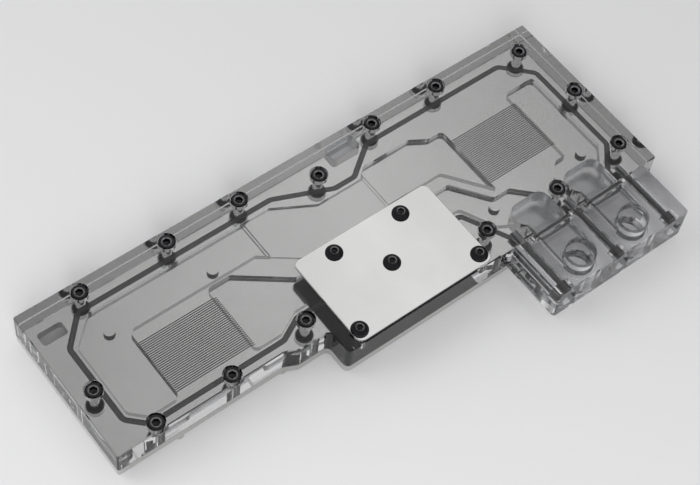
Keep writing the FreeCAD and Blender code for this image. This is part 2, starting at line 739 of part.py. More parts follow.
def build_terminal_block():
    body = add_body("terminal_block")
    plan = add_sketch(body, "TerminalPlan", offset="-Dim.plate_thickness")
    right = "Dim.block_length - Dim.right_terminal"
    back, front = FRONT, f"{FRONT} - Dim.terminal_width"
    add_outline(plan, [
        (f"{right} - Dim.terminal_length", back, None),
        (f"{right} - Dim.terminal_length", front, "Dim.terminal_radius"),
        (right, front, "Dim.terminal_radius"),
        (right, back, None),
    ])
    height = "Dim.plate_thickness + Dim.top_thickness"
    block = add_pad(body, plan, "Block", height)
    add_edge_break(body, block, number_of("Dim.top_thickness"), "BlockRim", "Dim.edge_break")

    ducts = add_sketch(body, "DuctPlan", "XZ_Plane", "Dim.block_depth")
    for port in PORTS:
        add_box_outline(ducts, port, DUCT_MIDDLE, "Dim.duct_length", "Dim.duct_height",
                        "Dim.duct_radius")
    add_pocket(body, ducts, "Ducts", "Dim.terminal_width - Dim.port_front", along_normal=True)
    glands = add_sketch(body, "GlandPlan", "XZ_Plane", "Dim.block_depth")
    for port in PORTS:
        add_gland_outline(glands, port, "Dim.seal_gap")
    add_pocket(body, glands, "SealGlands", "Dim.duct_seal_depth", along_normal=True)

    centres = [(port, PORT_DOWN) for port in PORTS]
    ports = add_sketch(body, "PortPlan", offset="Dim.top_thickness")
    add_circles(ports, centres, "Dim.port_diameter")
    add_pocket(body, ports, "Ports")
    recess = add_sketch(body, "PortRecessPlan", offset="-Dim.plate_thickness")
    add_circles(recess, centres, "Dim.port_recess_diameter")
    add_pocket(body, recess, "PortRecesses", "Dim.port_recess_depth", along_normal=True)

    face = "Dim.block_depth + Dim.terminal_width"
    bores = [(bore, TERMINAL_AXIS) for bore in TERMINAL_BORES]
    holes = add_sketch(body, "BorePlan", "XZ_Plane", face)
    add_circles(holes, bores, "Dim.clearance_bore")
    add_pocket(body, holes, "ScrewBores")
    sinks = add_sketch(body, "SinkPlan", "XZ_Plane", face)
    add_circles(sinks, bores, "Dim.counterbore")
    add_pocket(body, sinks, "ScrewSinks", "Dim.terminal_cap_sink")
    place(body, down="Dim.joint_gap", height="Dim.joint_gap")
    return body


def add_gland_outline(sketch, port, gap):
    # Inner and outer outline of the seal round one duct, each eased by the gap
    for margin, ease in (("Dim.duct_seal_margin", "-1"),
                         ("(Dim.duct_seal_margin + Dim.duct_seal_width)", "1")):
        grow = f"({margin} + {ease} * {gap})"
        add_box_outline(sketch, port, DUCT_MIDDLE, f"Dim.duct_length + 2 * {grow}",
                        f"Dim.duct_height + 2 * {grow}", f"Dim.duct_radius + {grow}")


def build_duct_seal(number, port):
    body = add_body(f"duct_seal_{number}")
    sketch = add_sketch(body, f"DuctSealPlan{number}", "XZ_Plane", "Dim.block_depth")
    add_gland_outline(sketch, port, "0")
    add_pad(body, sketch, f"DuctSeal{number}", "Dim.duct_seal_depth + Dim.joint_gap")
    place(body, height="Dim.joint_gap")
    return body


# Cover plate: a thin polished sheet on five button head screws

def build_cover_plate():
    body = add_body("cover_plate")
    plan = add_sketch(body, "CoverPlan", offset="Dim.top_thickness")
    add_box_outline(plan, *COVER_MIDDLE, "Dim.cover_length", "Dim.cover_width",
                    "Dim.cover_radius")
    sheet = add_pad(body, plan, "Sheet", "Dim.cover_thickness")
    upper = number_of("Dim.top_thickness + Dim.cover_thickness")
    add_edge_break(body, sheet, upper, "CoverRim", "Dim.edge_break / 2")
    holes = add_sketch(body, "CoverHolePlan", offset="Dim.top_thickness")
    add_circles(holes, COVER_SCREW_PLACES, "Dim.clearance_bore")
    add_pocket(body, holes, "CoverHoles", along_normal=True)
    place(body, height="Dim.joint_gap")
    return body


# Screws: turned about their own axis from the seat under the head, then socketed

def add_screw(label, profile, socket, socket_depth, head_height):
    body = add_body(label)
    section = add_sketch(body, f"Profile_{label}", "XZ_Plane")
    add_outline(section, profile)
    turned = body.newObject("PartDesign::Revolution", f"Turned_{label}")
    turned.Profile = section
    turned.ReferenceAxis = (section, ["V_Axis"])
    turned.Angle = 360
    doc.recompute()
    volume = body.Shape.Volume
    hexagon = body.newObject("PartDesign::SubtractivePrism", f"Socket_{label}")
    hexagon.Polygon = 6
    hexagon.setExpression("Circumradius", f"{socket} / sqrt(3)")
    hexagon.setExpression("Height", socket_depth)
    hexagon.setExpression("Placement.Base.z", f"{head_height} - {socket_depth}")
    doc.recompute()
    if not body.Shape.Volume < volume:
        raise ValueError(f"{label}: the socket cuts nothing")
    return body


def shank_corners(length):
    return [
        ("0", f"-{length}", None),
        ("Dim.screw_diameter / 2 - Dim.edge_break", f"-{length}", None),
        ("Dim.screw_diameter / 2", f"-{length} + Dim.edge_break", None),
        ("Dim.screw_diameter / 2", "0", None),
    ]


def build_cap_screw(label, length):
    profile = shank_corners(length) + [
        ("Dim.cap_diameter / 2", "0", None),
        ("Dim.cap_diameter / 2", "Dim.cap_height", "Dim.edge_break"),
        ("0", "Dim.cap_height", None),
    ]
    return add_screw(label, profile, "Dim.cap_socket", "Dim.cap_socket_depth",
                     "Dim.cap_height")


def build_button_screw(label):
    profile = shank_corners("Dim.cover_screw_length") + [
        ("Dim.button_diameter / 2", "0", None),
        ("Dim.button_diameter / 2", "Dim.button_rim", "Dim.edge_break"),
        ("Dim.button_shoulder / 2", "Dim.button_shoulder_rise", "Dim.button_round"),
        ("Dim.button_crown / 2", "Dim.button_height", "Dim.button_round"),
        ("0", "Dim.button_height", None),
    ]
    return add_screw(label, profile, "Dim.button_socket", "Dim.button_socket_depth",
                     "Dim.button_height")


nodes = [
    build_cold_plate(),
    build_perimeter_seal(),
    build_clear_top(),
    build_terminal_block(),
    build_cover_plate(),
]
for number, port in enumerate(PORTS, start=1):
    nodes.append(build_duct_seal(number, port))
for number, (x, y) in enumerate(TOP_SCREW_PLACES, start=1):
    screw = build_cap_screw(f"top_screw_{number:02}", "Dim.screw_length")
    place(screw, x, f"-({y})", "Dim.joint_gap + Dim.top_thickness - Dim.cap_sink")
    nodes.append(screw)
for number, (x, y) in enumerate(COVER_SCREW_PLACES, start=1):
    screw = build_button_screw(f"cover_screw_{number}")
    place(screw, x, f"-({y})", "Dim.joint_gap + Dim.top_thickness + Dim.cover_thickness")
    nodes.append(screw)
for number, bore in enumerate(TERMINAL_BORES, start=1):
    reach = "(Dim.terminal_width - Dim.terminal_cap_sink + Dim.terminal_screw_bite)"
    screw = build_cap_screw(f"terminal_screw_{number}", reach)
    seat = "Dim.block_depth + Dim.joint_gap + Dim.terminal_width - Dim.terminal_cap_sink"
    screw.Placement.Rotation = FreeCAD.Rotation(FreeCAD.Vector(1, 0, 0), 90)
    place(screw, bore, seat, f"Dim.joint_gap + {TERMINAL_AXIS}")
    nodes.append(screw)

doc.recompute()
for item in doc.Objects:
    if "Invalid" in item.State or "Error" in item.State:
        raise ValueError(f"{item.Label} did not build: {item.State}")
for node in nodes:
    if node.Shape.isNull() or not node.Shape.isValid() or len(node.Shape.Solids) != 1:
        raise ValueError(f"{node.Label} is not one sound solid")

os.makedirs("parts", exist_ok=True)
for node in nodes:
    node.Shape.exportStep(f"parts/{node.Label}.step")
print(len(nodes), "pieces written")
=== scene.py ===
import json
import math
import bmesh
import bpy
from mathutils import Matrix, Vector


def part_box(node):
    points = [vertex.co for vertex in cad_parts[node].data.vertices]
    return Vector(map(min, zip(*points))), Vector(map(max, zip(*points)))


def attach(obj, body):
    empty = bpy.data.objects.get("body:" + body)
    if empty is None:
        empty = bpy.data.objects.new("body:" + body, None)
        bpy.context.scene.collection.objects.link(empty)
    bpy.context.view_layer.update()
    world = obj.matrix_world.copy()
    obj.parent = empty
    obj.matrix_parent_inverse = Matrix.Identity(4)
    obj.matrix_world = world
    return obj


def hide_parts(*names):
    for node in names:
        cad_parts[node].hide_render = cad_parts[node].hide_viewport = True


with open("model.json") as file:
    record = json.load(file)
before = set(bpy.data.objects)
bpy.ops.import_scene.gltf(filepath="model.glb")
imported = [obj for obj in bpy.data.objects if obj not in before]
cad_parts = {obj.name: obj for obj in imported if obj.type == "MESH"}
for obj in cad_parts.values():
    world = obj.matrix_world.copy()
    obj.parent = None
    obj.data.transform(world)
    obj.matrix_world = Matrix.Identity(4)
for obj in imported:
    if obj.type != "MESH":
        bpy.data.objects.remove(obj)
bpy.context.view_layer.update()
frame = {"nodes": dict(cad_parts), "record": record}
cadNodes = frame["nodes"]
mm = 0.001

topLow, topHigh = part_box("clear_top")
blockLeft, blockFar = topLow.x, topHigh.y
# the squeezed seal holds the clear top this far off the plate
jointGap = 0.05 * mm
plateFace = topLow.z - jointGap
ports = [Vector(mount["pos_m"]) for mount in frame["record"]["mounts"]
         if mount["name"].startswith("port_")]


def fromBlock(across, down, height=0.0):
    # millimetres from the far left corner, down to the front, up from the plate's face
    return Vector((blockLeft + across * mm, blockFar - down * mm, plateFace + height * mm))


print("frame read")


# small helpers for nodes and meshes

def toLinear(hexText):
    # sRGB hex to the linear colour that shaders use
    channels = [int(hexText[i:i + 2], 16) / 255 for i in (1, 3, 5)]
    return [c / 12.92 if c <= 0.04045 else ((c + 0.055) / 1.055) ** 2.4 for c in channels] + [1.0]


def addNode(tree, kind, values=None, links=None, **attributes):
    node = tree.nodes.new(kind)
    for name, value in attributes.items():
        setattr(node, name, value)
    for socket, value in (values or {}).items():
        node.inputs[socket].default_value = value
    for socket, source in (links or {}).items():
        tree.links.new(source, node.inputs[socket])
    return node


def startMaterial(name):
    material = bpy.data.materials.new(name)
    material.use_nodes = True
    material.node_tree.nodes.clear()
    return material, material.node_tree


def setRamp(node, stops):
    ramp = node.color_ramp
    for index, (place, colour) in enumerate(stops):
        element = ramp.elements[index] if index < 2 else ramp.elements.new(place)
        element.position = place
        element.color = colour
    return node


def grey(level):
    return (level, level, level, 1.0)


def newPiece(name, mesh):
    piece = bpy.data.objects.new(name, mesh)
    bpy.context.scene.collection.objects.link(piece)
    return piece


skin = {
    "weld": 2e-6,  # metres between corners that are one
    "flatTurn": 0.4,  # degrees between triangles that are one flat face
    "smoothTurn": 32,  # degrees between faces of one curved wall
    "wideTurn": 1.5,  # and beside a face wider than the next value
    "wideFace": 3.0,
}


def mergedMesh(nodeName, meshName, joinFlats=True):
    # a CAD node's triangles, joined into one skin with large flat faces
    source = cadNodes[nodeName].data
    points = [v.co.copy() for v in source.vertices]
    faces = [tuple(p.vertices) for p in source.polygons]
    mesh = bpy.data.meshes.new(meshName)
    mesh.from_pydata(points, [], faces)
    work = bmesh.new()
    work.from_mesh(mesh)
    bmesh.ops.remove_doubles(work, verts=work.verts, dist=skin["weld"])
    if joinFlats:
        bmesh.ops.dissolve_limit(work, angle_limit=math.radians(skin["flatTurn"]),
                                 verts=work.verts, edges=work.edges)
    return mesh, work


def finishMesh(mesh, work, smoothTurn=skin["smoothTurn"]):
    # curved walls turn smooth, and wide flat faces stay flat right up to their edges
    for face in work.faces:
        face.smooth = True
    for edge in work.edges:
        angle = edge.calc_face_angle(math.pi)
        reach = max((face.calc_area() / max(edge.calc_length(), 1e-9)
                     for face in edge.link_faces), default=0)
        wide = reach > skin["wideFace"] * mm
        edge.smooth = angle < math.radians(skin["wideTurn"] if wide else smoothTurn)
    work.to_mesh(mesh)
    work.free()
    return mesh


def newTree(name, sockets):
    tree = bpy.data.node_groups.new(name, "GeometryNodeTree")
    tree.interface.new_socket("Geometry", in_out="INPUT", socket_type="NodeSocketGeometry")
    for label, kind in sockets:
        tree.interface.new_socket(label, in_out="INPUT", socket_type=kind)
    tree.interface.new_socket("Geometry", in_out="OUTPUT", socket_type="NodeSocketGeometry")
    start = tree.nodes.new("NodeGroupInput")
    end = tree.nodes.new("NodeGroupOutput")
    return tree, start, end


def bakeTree(name, carrier, tree, values):
    # runs a geometry tree on the carrier mesh and keeps the result as one plain mesh
    holder = newPiece(name + "Carrier", carrier)
    modifier = holder.modifiers.new(tree.name, "NODES")
    modifier.node_group = tree
    for item in tree.interface.items_tree:
        if item.in_out == "INPUT" and item.name in values:
            modifier[item.identifier] = values[item.name]
    evaluated = holder.evaluated_get(bpy.context.evaluated_depsgraph_get())
    mesh = bpy.data.meshes.new_from_object(evaluated)
    mesh.name = name
    bpy.data.objects.remove(holder)
    return mesh


# camera, at the place the photograph was taken from

view = {
    "place": (-0.27223, -0.25798, 0.60287),
    "forward": (0.386489, 0.385610, -0.837813),
    "roll": 8.705,
    "lens": 87.33,
    "sensor": 36,
    "nearest": 0.01,
}
forward = Vector(view["forward"]).normalized()
levelRight = forward.cross(Vector((0, 0, 1))).normalized()
levelUp = levelRight.cross(forward)
roll = math.radians(view["roll"])
right = levelRight * math.cos(roll) + levelUp * math.sin(roll)
up = (-forward).cross(right)
cameraData = bpy.data.cameras.new("viewCamera")
cameraData.lens = view["lens"]
cameraData.sensor_width = view["sensor"]
cameraData.clip_start = view["nearest"]
camera = bpy.data.objects.new("viewCamera", cameraData)
bpy.context.scene.collection.objects.link(camera)
turn = Matrix((right, up, -forward)).transposed()
camera.matrix_world = Matrix.Translation(view["place"]) @ turn.to_4x4()
bpy.context.scene.camera = camera
print("camera set")


# materials

def clearShader(tree, surface, through):
    # lamps pass the acrylic, so that what lies under it is lit
    path = addNode(tree, "ShaderNodeLightPath")
    clear = addNode(tree, "ShaderNodeBsdfTransparent", {"Color": through})
    mix = addNode(tree, "ShaderNodeMixShader", None,
                  {0: path.outputs["Is Shadow Ray"], 1: surface.outputs[0], 2: clear.outputs[0]})
    addNode(tree, "ShaderNodeOutputMaterial", None, {"Surface": mix.outputs[0]})


def makeAcrylic(finish):
    # one resin under four tools: they differ in how rough each leaves it and in a grey tint, which
    # on the milled and tapped walls is painted shade
    material, tree = startMaterial(finish["name"])
    place = addNode(tree, "ShaderNodeTexCoord").outputs["Object"]
    marks = addNode(tree, "ShaderNodeTexNoise",
                    {"Scale": finish["grain"], "Detail": finish["detail"]}, {"Vector": place})
    haze = setRamp(addNode(tree, "ShaderNodeValToRGB", None, {"Fac": marks.outputs["Fac"]}),
                   finish["haze"])
    surface = addNode(tree, "ShaderNodeBsdfPrincipled", {
        "Base Color": toLinear(finish["tint"]), "IOR": 1.49,
        "Transmission Weight": finish["clear"],
    }, {"Roughness": haze.outputs["Color"]})
    clearShader(tree, surface, toLinear(finish["passes"]))
    return material


# cast acrylic, diamond cut and polished: water clear, with hair-fine handling marks
polishedFinish = {
    "name": "polishedCastAcrylic", "grain": 180.0, "detail": 6.0,
    "haze": [(0.45, grey(0.0)), (0.8, grey(0.008))],
    "tint": "#fbfbfc", "clear": 1.0, "passes": "#e2e2e3",
}
# walls as the end mill's flank leaves them: fine chatter roughens them, and their grey tint is
# painted shade that darkens them
milledShadedFinish = {
    "name": "milledAcrylic", "grain": 700.0, "detail": 3.0,
    "haze": [(0.3, grey(0.06)), (0.75, grey(0.16))],
    "tint": "#8c8e90", "clear": 1.0, "passes": "#c5c6c8",
}
# thread flanks cut by a tap: clear, with a slight haze; their grey tint is painted shade that
# darkens them
tappedShadedFinish = {
    "name": "tappedAcrylic", "grain": 900.0, "detail": 2.0,
    "haze": [(0.3, grey(0.03)), (0.75, grey(0.1))],
    "tint": "#a4a6a8", "clear": 1.0, "passes": "#dbdcdd",
}
# ceilings that only the mill's end has touched: an even milky haze
frostedFinish = {
    "name": "frostedAcrylic", "grain": 90.0, "detail": 2.0,
    "haze": [(0.3, grey(0.2)), (0.75, grey(0.27))],
    "tint": "#cdcfd1", "clear": 0.82, "passes": "#dbdcdd",
}


def makeBrightNickel():
    # electroless nickel over lapped copper: a soft grey mirror with faint clouds
    material, tree = startMaterial("brightNickelPlate")
    place = addNode(tree, "ShaderNodeTexCoord").outputs["Object"]
    clouds = addNode(tree, "ShaderNodeTexNoise", {"Scale": 22.0, "Detail": 3.0, "Roughness": 0.5},
                     {"Vector": place})
    tint = setRamp(addNode(tree, "ShaderNodeValToRGB", None, {"Fac": clouds.outputs["Fac"]}),
                   [(0.3, toLinear("#c3c2c0")), (0.72, toLinear("#cccbc9"))])
    gloss = setRamp(addNode(tree, "ShaderNodeValToRGB", None, {"Fac": clouds.outputs["Fac"]}),
                    [(0.25, grey(0.06)), (0.8, grey(0.11))])
    surface = addNode(tree, "ShaderNodeBsdfPrincipled", {"Metallic": 1.0}, {
        "Base Color": tint.outputs["Color"], "Roughness": gloss.outputs["Color"],
    })
    addNode(tree, "ShaderNodeOutputMaterial", None, {"Surface": surface.outputs[0]})
    return material


def makeDullShadedNickel():
    # the same plating inside the sawn slots and on the pips' sides, matt where no lap reaches; its
    # near-black colour is painted shade
    material, tree = startMaterial("paintedShadeNickel")
    place = addNode(tree, "ShaderNodeTexCoord").outputs["Object"]
    stains = addNode(tree, "ShaderNodeTexNoise", {"Scale": 120.0, "Detail": 2.0},
                     {"Vector": place})
    tint = setRamp(addNode(tree, "ShaderNodeValToRGB", None, {"Fac": stains.outputs["Fac"]}),
                   [(0.3, toLinear("#1c1c1c")), (0.75, toLinear("#262525"))])
    surface = addNode(tree, "ShaderNodeBsdfPrincipled", {"Metallic": 1.0, "Roughness": 0.42},
                      {"Base Color": tint.outputs["Color"]})
    addNode(tree, "ShaderNodeOutputMaterial", None, {"Surface": surface.outputs[0]})
    return material


def makeMirrorSteel():
    # buffed stainless sheet: near mirror, with sparse polishing hairlines
    material, tree = startMaterial("mirrorPolishedSteel")
    place = addNode(tree, "ShaderNodeTexCoord").outputs["Object"]
    stretch = addNode(tree, "ShaderNodeMapping", {"Scale": (90.0, 2200.0, 2200.0),
                                                  "Rotation": (0, 0, 0.35)}, {"Vector": place})
    lines = addNode(tree, "ShaderNodeTexNoise", {"Scale": 1.0, "Detail": 4.0},
                    {"Vector": stretch.outputs["Vector"]})
    gloss = setRamp(addNode(tree, "ShaderNodeValToRGB", None, {"Fac": lines.outputs["Fac"]}),
                    [(0.35, grey(0.03)), (0.8, grey(0.09))])
    smudge = addNode(tree, "ShaderNodeTexNoise", {"Scale": 40.0, "Detail": 3.0},
                     {"Vector": place})
    tint = setRamp(addNode(tree, "ShaderNodeValToRGB", None, {"Fac": smudge.outputs["Fac"]}),
                   [(0.3, toLinear("#e6e6e5")), (0.7, toLinear("#eeeeed"))])
    surface = addNode(tree, "ShaderNodeBsdfPrincipled", {"Metallic": 1.0}, {
        "Base Color": tint.outputs["Color"], "Roughness": gloss.outputs["Color"],
    })
    addNode(tree, "ShaderNodeOutputMaterial", None, {"Surface": surface.outputs[0]})
    return material


def makeBlackNickelSteel():
    # black nickel on steel: dark and glossy, lightened round the socket and on the shank by a
    # painted highlight
    material, tree = startMaterial("blackNickelSteel")
    place = addNode(tree, "ShaderNodeTexCoord").outputs["Object"]
    patches = addNode(tree, "ShaderNodeTexNoise", {"Scale": 900.0, "Detail": 4.0},
                      {"Vector": place})
    paintedHighlight = addNode(tree, "ShaderNodeAttribute", attribute_name="paintedHighlight")
    # the painted highlight lifts the dark base colour to a light grey
    tint = setRamp(addNode(tree, "ShaderNodeValToRGB", None, {"Fac": paintedHighlight.outputs["Fac"]}),
                   [(0.0, toLinear("#38383a")), (1.0, toLinear("#9a9a9b"))])
    gloss = setRamp(addNode(tree, "ShaderNodeValToRGB", None, {"Fac": patches.outputs["Fac"]}),
                    [(0.2, grey(0.16)), (0.8, grey(0.28))])
    surface = addNode(tree, "ShaderNodeBsdfPrincipled", {"Metallic": 1.0}, {
        "Base Color": tint.outputs["Color"], "Roughness": gloss.outputs["Color"],
    })
    addNode(tree, "ShaderNodeOutputMaterial", None, {"Surface": surface.outputs[0]})
    return material


def makeNitrileRubber():
    # moulded nitrile: black, satin, with a fine bloom
    material, tree = startMaterial("blackNitrileRubber")
    place = addNode(tree, "ShaderNodeTexCoord").outputs["Object"]
    bloom = addNode(tree, "ShaderNodeTexNoise", {"Scale": 420.0, "Detail": 6.0},
                    {"Vector": place})
    tint = setRamp(addNode(tree, "ShaderNodeValToRGB", None, {"Fac": bloom.outputs["Fac"]}),
                   [(0.3, toLinear("#1b1b1c")), (0.8, toLinear("#2c2c2d"))])
    gloss = setRamp(addNode(tree, "ShaderNodeValToRGB", None, {"Fac": bloom.outputs["Fac"]}),
                    [(0.2, grey(0.38)), (0.8, grey(0.6))])
    surface = addNode(tree, "ShaderNodeBsdfPrincipled", {"IOR": 1.52}, {
        "Base Color": tint.outputs["Color"], "Roughness": gloss.outputs["Color"],
    })
    addNode(tree, "ShaderNodeOutputMaterial", None, {"Surface": surface.outputs[0]})
    return material


polishedAcrylic = makeAcrylic(polishedFinish)
milledAcrylic = makeAcrylic(milledShadedFinish)
tappedAcrylic = makeAcrylic(tappedShadedFinish)
frostedAcrylic = makeAcrylic(frostedFinish)
brightNickel = makeBrightNickel()
dullShadedNickel = makeDullShadedNickel()
mirrorSteel = makeMirrorSteel()
blackNickel = makeBlackNickelSteel()
nitrileRubber = makeNitrileRubber()
print("materials made")


# the two sheets of metal

plate = {
    "slotDepth": 1.8,  # of the sawn slots between the fins
    "floorSlack": 0.03,
    "faceSlack": 0.01,
    "pipRise": 1.0,  # what stands higher than this is a pip
}


def dressColdPlate():
    mesh, work = mergedMesh("cold_plate", "coldPlate", joinFlats=False)
    floorLevel = plateFace - plate["slotDepth"] * mm
    for face in work.faces:
        levels = [v.co.z for v in face.verts]
        inSlot = (abs(min(levels) - floorLevel) < plate["floorSlack"] * mm
                  and max(levels) < plateFace + plate["faceSlack"] * mm)
        pipSide = (max(levels) > plateFace + plate["pipRise"] * mm
                   and abs(face.normal.z) < 0.5)
        # slot walls and floors and the pips' sides take the nickel painted near-black as shade
        if inSlot or pipSide:
            face.material_index = 1
    finishMesh(mesh, work)
    mesh.materials.append(brightNickel)
    mesh.materials.append(dullShadedNickel)
    piece = newPiece("coldPlate", mesh)
    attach(piece, "root")
    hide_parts("cold_plate")


dressColdPlate()
cadNodes["cover_plate"].data.materials.clear()
cadNodes["cover_plate"].data.materials.append(mirrorSteel)
print("metal sheets dressed")


# clear pieces: the CAD shapes with smooth curved walls and broken hole edges

acrylic = {
    "rimBreak": 0.22,  # on each counterbore's mouth
    "rimReach": 4.1,
    "wellRise": 8.2,
    "wellWall": 5.8,  # between the wells and the front face
    "wellReach": 12.0,  # across, from the port's axis
    "wellEase": 1.6,
    "outerSkin": 0.7,  # how near the outline a face lies when it is an outer side
    "leftFront": 73.8,  # down to the front edge of the narrow left part
    "leftEnd": 78.5,
    "stepStart": 77.0,  # the front edge steps out between these two
    "stepEnd": 101.6,
    "hazeLevels": (4.0, 9.0),  # ceilings of wells and window, floors of counterbores
    "portReach": 6.7,
    "portBreak": 0.35,
    "portWall": 8.4,  # faces nearer a port's axis than this are polished
}
topScrewNames = [f"top_screw_{i:02}" for i in range(1, 16)]
coverScrewNames = [f"cover_screw_{i}" for i in range(1, 6)]
terminalScrewNames = [f"terminal_screw_{i}" for i in range(1, 4)]


def boxMiddle(name):
    low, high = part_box(name)
    return (low + high) / 2


def breakRims(work, height, centres, reach, size):
    # a small bevel on each round hole's mouth in one flat face
    edges = []
    for edge in work.edges:
        if all(abs(v.co.z - height) < 1e-5 for v in edge.verts):
            middle = (edge.verts[0].co + edge.verts[1].co) / 2
            if any((middle.xy - c.xy).length < reach for c in centres):
                if len(edge.link_faces) == 2 and edge.calc_face_angle(0) > 0.5:
                    edges.append(edge)
    if edges:
        bmesh.ops.bevel(work, geom=edges, offset=size, segments=2, profile=0.5,
                        affect="EDGES")


def isOuter(point):
    # true for a point on the outline of the clear top
    near = acrylic["outerSkin"]
    across, down = (point.x - blockLeft) / mm, (blockFar - point.y) / mm
    length, depth = (topHigh.x - topLow.x) / mm, (topHigh.y - topLow.y) / mm
    if across < near or across > length - near or down < near or down > depth - near:
        return True
    if across < acrylic["leftEnd"] and abs(down - acrylic["leftFront"]) < near:
        return True
    inStep = acrylic["stepStart"] < across < acrylic["stepEnd"]
    return inStep and down > acrylic["leftFront"] - near


def easeWells(work):
    # the round-nosed mill leaves a soft corner between each well's wall and its ceiling
    ceiling = topLow.z + acrylic["wellRise"] * mm
    reach = acrylic["wellReach"] * mm
    edges = []
    for edge in work.edges:
        middle = (edge.verts[0].co + edge.verts[1].co) / 2
        level = all(abs(v.co.z - ceiling) < 2e-5 for v in edge.verts)
        behind = middle.y > topLow.y + acrylic["wellWall"] * mm
        if level and behind and any(abs(middle.x - p.x) < reach for p in ports):
            if len(edge.link_faces) == 2 and edge.calc_face_angle(0) > 0.5:
                edges.append(edge)
    bmesh.ops.bevel(work, geom=edges, offset=acrylic["wellEase"] * mm, segments=4, profile=0.5,
                    affect="EDGES", clamp_overlap=True)
    print("wells eased along", len(edges), "edges")


def dressClearTop():
    mesh, work = mergedMesh("clear_top", "clearTop")
    breakRims(work, topHigh.z, [boxMiddle(n) for n in topScrewNames],
              acrylic["rimReach"] * mm, acrylic["rimBreak"] * mm)
    easeWells(work)
    lowHaze, highHaze = acrylic["hazeLevels"]
    for face in work.faces:
        middle = face.calc_center_median()
        level = (middle.z - topLow.z) / mm
        flat = abs(face.normal.z) > 0.9
        # walls inside the top take the milled acrylic, tinted grey as painted shade
        if not flat and not isOuter(middle):
            face.material_index = 1
        if flat and lowHaze < level < highHaze:
            face.material_index = 2
    finishMesh(mesh, work)
    mesh.materials.append(polishedAcrylic)
    mesh.materials.append(milledAcrylic)
    mesh.materials.append(frostedAcrylic)
    piece = newPiece("clearTop", mesh)
    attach(piece, "root")
    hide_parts("clear_top")


def dressTerminal():
    low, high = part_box("terminal_block")
    mesh, work = mergedMesh("terminal_block", "terminalBlock")
    breakRims(work, high.z, ports, acrylic["portReach"] * mm, acrylic["portBreak"] * mm)
    near = acrylic["outerSkin"] * mm
    for face in work.faces:
        middle = face.calc_center_median()
        outer = (middle.x < low.x + near or middle.x > high.x - near
                 or middle.y < low.y + near)
        flat = abs(face.normal.z) > 0.9
        inPort = any((middle.xy - p.xy).length < acrylic["portWall"] * mm for p in ports)
        # inner walls of the terminal take the milled acrylic, tinted grey as painted shade
        if not flat and not outer and not inPort:
            face.material_index = 1
    finishMesh(mesh, work)
    mesh.materials.append(polishedAcrylic)
    mesh.materials.append(milledAcrylic)
    piece = newPiece("terminalBlock", mesh)
    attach(piece, "root")
    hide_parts("terminal_block")


dressClearTop()
dressTerminal()
print("clear top and terminal block dressed")


# port threads, G1/4: 19 to the inch, cut above and below the ducts

portThread = {
    "radius": 6.58,
    "pitch": 1.337,
    "tooth": 0.6,
    "root": 0.05,  # how far the ridge's middle lies inside the bore
    "upper": (14.95, 18.35),  # heights over the floor where each run starts and ends
    "lower": (4.25, 9.55),
}


def threadTree():
    tree, start, end = newTree("threadRidge", [
        ("Radius", "NodeSocketFloat"), ("Pitch", "NodeSocketFloat"),
        ("Turns", "NodeSocketFloat"), ("Tooth", "NodeSocketFloat"),
        ("Finish", "NodeSocketMaterial")])
    height = addNode(tree, "ShaderNodeMath", None,
                     {0: start.outputs["Pitch"], 1: start.outputs["Turns"]}, operation="MULTIPLY")
    spiral = addNode(tree, "GeometryNodeCurveSpiral", {"Resolution": 40}, {
        "Rotations": start.outputs["Turns"], "Start Radius": start.outputs["Radius"],
        "End Radius": start.outputs["Radius"], "Height": height.outputs[0]})
    upright = addNode(tree, "GeometryNodeSetCurveNormal", None,
                      {"Curve": spiral.outputs["Curve"]}, mode="Z_UP")
    # a circle of three points is the ridge's triangle
    profile = addNode(tree, "GeometryNodeCurvePrimitiveCircle", {"Resolution": 3},
                      {"Radius": start.outputs["Tooth"]})
    spun = addNode(tree, "GeometryNodeTransform", {"Rotation": (0, 0, math.pi)},
                   {"Geometry": profile.outputs["Curve"]})
    solid = addNode(tree, "GeometryNodeCurveToMesh", {"Fill Caps": True},
                    {"Curve": upright.outputs["Curve"], "Profile Curve": spun.outputs["Geometry"]})
    flat = addNode(tree, "GeometryNodeSetShadeSmooth", {"Shade Smooth": False},
                   {"Geometry": solid.outputs["Mesh"]})
    real = addNode(tree, "GeometryNodeRealizeInstances", None, {"Geometry": flat.outputs[0]})
    finish = addNode(tree, "GeometryNodeSetMaterial", None,
                     {"Geometry": real.outputs[0], "Material": start.outputs["Finish"]})
    tree.links.new(finish.outputs[0], end.inputs[0])
    return tree


def cutPortThreads():
    tree = threadTree()
    joined = bmesh.new()
    tooth = portThread["tooth"] / 1.5  # from a triangle's height to the radius round it
    for port in ports:
        for low, high in (portThread["upper"], portThread["lower"]):
            turns = (high - low - tooth) / portThread["pitch"]
            mesh = bakeTree("threadTurns", bpy.data.meshes.new("threadStart"), tree, {
                "Radius": (portThread["radius"] - portThread["root"]) * mm,
                "Pitch": portThread["pitch"] * mm, "Turns": turns,
                "Tooth": tooth * mm, "Finish": tappedAcrylic})
            place = Vector((port.x, port.y, (low + tooth / 2) * mm))
            mesh.transform(Matrix.Translation(place))
            joined.from_mesh(mesh)
            bpy.data.meshes.remove(mesh)
    bmesh.ops.recalc_face_normals(joined, faces=joined.faces)
    mesh = bpy.data.meshes.new("portThreads")
    joined.to_mesh(mesh)
    joined.free()
    # the ridges take the tapped acrylic, tinted grey as painted shade
    mesh.materials.append(tappedAcrylic)
    piece = newPiece("portThreads", mesh)
    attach(piece, "root")


cutPortThreads()
print("port threads cut")


# seals, squeezed flat between the clear top, the plate and the terminal block

